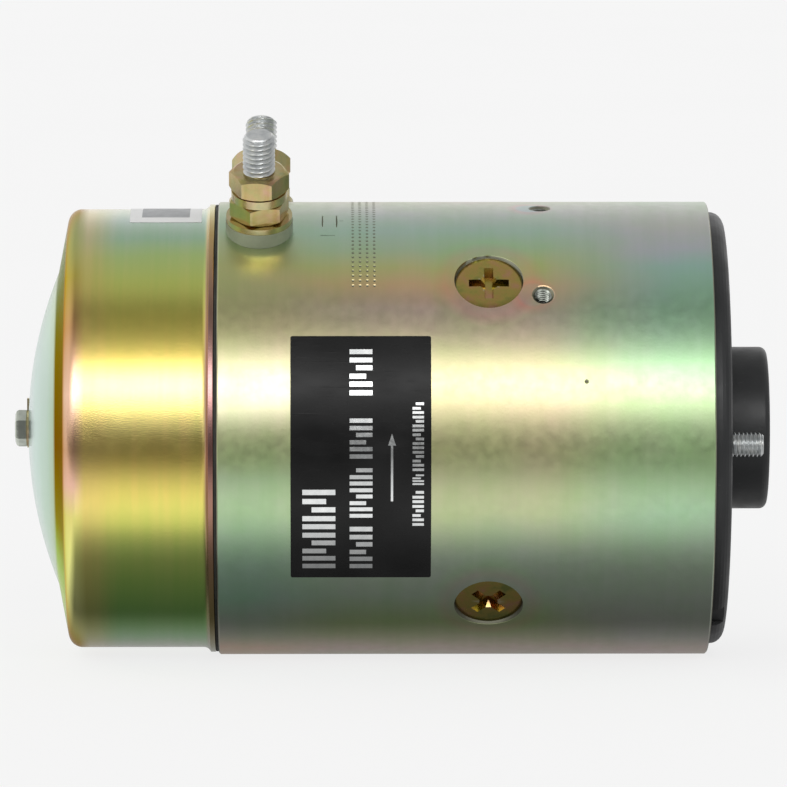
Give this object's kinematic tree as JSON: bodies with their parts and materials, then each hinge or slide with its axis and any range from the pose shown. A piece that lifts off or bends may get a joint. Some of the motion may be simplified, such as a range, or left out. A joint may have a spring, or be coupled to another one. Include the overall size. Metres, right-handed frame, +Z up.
{
  "type": "electric motor",
  "caption": "Series-wound pump motor with zinc-chromated yoke, domed cup cover, black drive-end plate with pilot hub and two threaded terminals.",
  "frame": {"origin": "centre of the pilot hub, in the plane of the drive-end mounting face", "axes": "+X along the shaft, out of the drive end; +Z up, midway between the two terminals; the label is on the -Y side"},
  "size_m": [0.1893, 0.1141, 0.1343],
  "materials": {
    "yoke_zinc": "satin yellow zinc chromate",
    "cap_zinc": "glossy yellow zinc chromate",
    "fastener_zinc": "yellow zinc chromate",
    "silver_zinc": "clear zinc",
    "black_enamel": "matt black enamel",
    "cast_bracket": "as cast",
    "gasket_rubber": "matt",
    "seal_rubber": "satin",
    "pole_iron": "machined",
    "coil_tape": "varnished cotton tape",
    "copper": "bare copper",
    "winding_copper": "enamelled copper",
    "copper_braid": "stranded copper",
    "bush_nylon": "moulded nylon",
    "laminate": "paper laminate",
    "holder_brass": "pressed brass",
    "carbon": "copper-graphite",
    "spring_steel": "satin",
    "bearing_steel": "ground",
    "cage_brass": "pressed",
    "shaft_steel": "ground",
    "core_steel": "stamped laminations",
    "commutator_resin": "moulded resin",
    "label_film": "glossy film",
    "sticker_film": "paper-like film"
  },
  "bodies": {
    "root": {"yoke_tube": "yoke_zinc", "drive_end_shield": "black_enamel", "commutator_end_bracket": "cast_bracket", "end_cap": "cap_zinc", "cap_gasket": "gasket_rubber", "cap_screw": "fastener_zinc", "cap_lock_washer": "fastener_zinc", "through_bolts": "silver_zinc", "through_bolt_washers": "silver_zinc", "pole_screws": "fastener_zinc", "pole_shoe_1": "pole_iron", "pole_shoe_2": "pole_iron", "pole_shoe_3": "pole_iron", "pole_shoe_4": "pole_iron", "field_coil_1": "coil_tape", "field_coil_2": "coil_tape", "field_coil_3": "coil_tape", "field_coil_4": "coil_tape", "field_links": "copper", "terminal_studs": "silver_zinc", "terminal_bushes": "bush_nylon", "terminal_inner_washers": "bush_nylon", "terminal_plain_washers": "fastener_zinc", "terminal_lower_nuts": "fastener_zinc", "terminal_spring_washers": "fastener_zinc", "terminal_upper_nuts": "fastener_zinc", "brush_plate": "laminate", "brush_holders": "holder_brass", "brush_spring_1": "spring_steel", "brush_spring_2": "spring_steel", "brush_spring_3": "spring_steel", "brush_spring_4": "spring_steel", "brush_lead_1": "copper_braid", "brush_lead_2": "copper_braid", "brush_lead_3": "copper_braid", "brush_lead_4": "copper_braid", "drive_bearing_outer_ring": "bearing_steel", "rear_bearing_outer_ring": "bearing_steel", "bearing_circlip": "spring_steel", "shaft_seal": "seal_rubber", "preload_washer": "spring_steel", "rating_label": "label_film", "cap_sticker": "sticker_film"},
    "armature": {"shaft": "shaft_steel", "armature_core": "core_steel", "armature_winding": "winding_copper", "winding_bands": "coil_tape", "commutator_bars": "copper", "commutator_hub": "commutator_resin", "drive_bearing_inner_ring": "bearing_steel", "rear_bearing_inner_ring": "bearing_steel"},
    "drive_ball_set": {"drive_bearing_balls": "bearing_steel", "drive_bearing_cage": "cage_brass"},
    "rear_ball_set": {"rear_bearing_balls": "bearing_steel", "rear_bearing_cage": "cage_brass"},
    "brush_1_body": {"brush_1": "carbon"},
    "brush_2_body": {"brush_2": "carbon"},
    "brush_3_body": {"brush_3": "carbon"},
    "brush_4_body": {"brush_4": "carbon"}
  },
  "joints": [
    {"name": "armature_spin", "type": "hinge", "parent": "root", "child": "armature", "pos_m": [0, 0, 0], "axis": [1, 0, 0], "continuous": true},
    {"name": "drive_ball_spin", "type": "hinge", "parent": "root", "child": "drive_ball_set", "pos_m": [-0.0055, 0, 0], "axis": [1, 0, 0], "continuous": true},
    {"name": "rear_ball_spin", "type": "hinge", "parent": "root", "child": "rear_ball_set", "pos_m": [-0.1565, 0, 0], "axis": [1, 0, 0], "continuous": true},
    {"name": "brush_1_slide", "type": "slide", "parent": "root", "child": "brush_1_body", "axis": [0, 0.7071, 0.7071], "range_m": [0, 0.004], "stiffness_N_per_m": 300, "springref_m": -0.02, "deforming": ["brush_spring_1", "brush_lead_1"]},
    {"name": "brush_2_slide", "type": "slide", "parent": "root", "child": "brush_2_body", "axis": [0, -0.7071, 0.7071], "range_m": [0, 0.004], "stiffness_N_per_m": 300, "springref_m": -0.02, "deforming": ["brush_spring_2", "brush_lead_2"]},
    {"name": "brush_3_slide", "type": "slide", "parent": "root", "child": "brush_3_body", "axis": [0, -0.7071, -0.7071], "range_m": [0, 0.004], "stiffness_N_per_m": 300, "springref_m": -0.02, "deforming": ["brush_spring_3", "brush_lead_3"]},
    {"name": "brush_4_slide", "type": "slide", "parent": "root", "child": "brush_4_body", "axis": [0, 0.7071, -0.7071], "range_m": [0, 0.004], "stiffness_N_per_m": 300, "springref_m": -0.02, "deforming": ["brush_spring_4", "brush_lead_4"]}
  ],
  "couplings": [
    {"joint": "drive_ball_spin", "follows": "armature_spin", "ratio": 0.381},
    {"joint": "rear_ball_spin", "follows": "armature_spin", "ratio": 0.381}
  ]
}
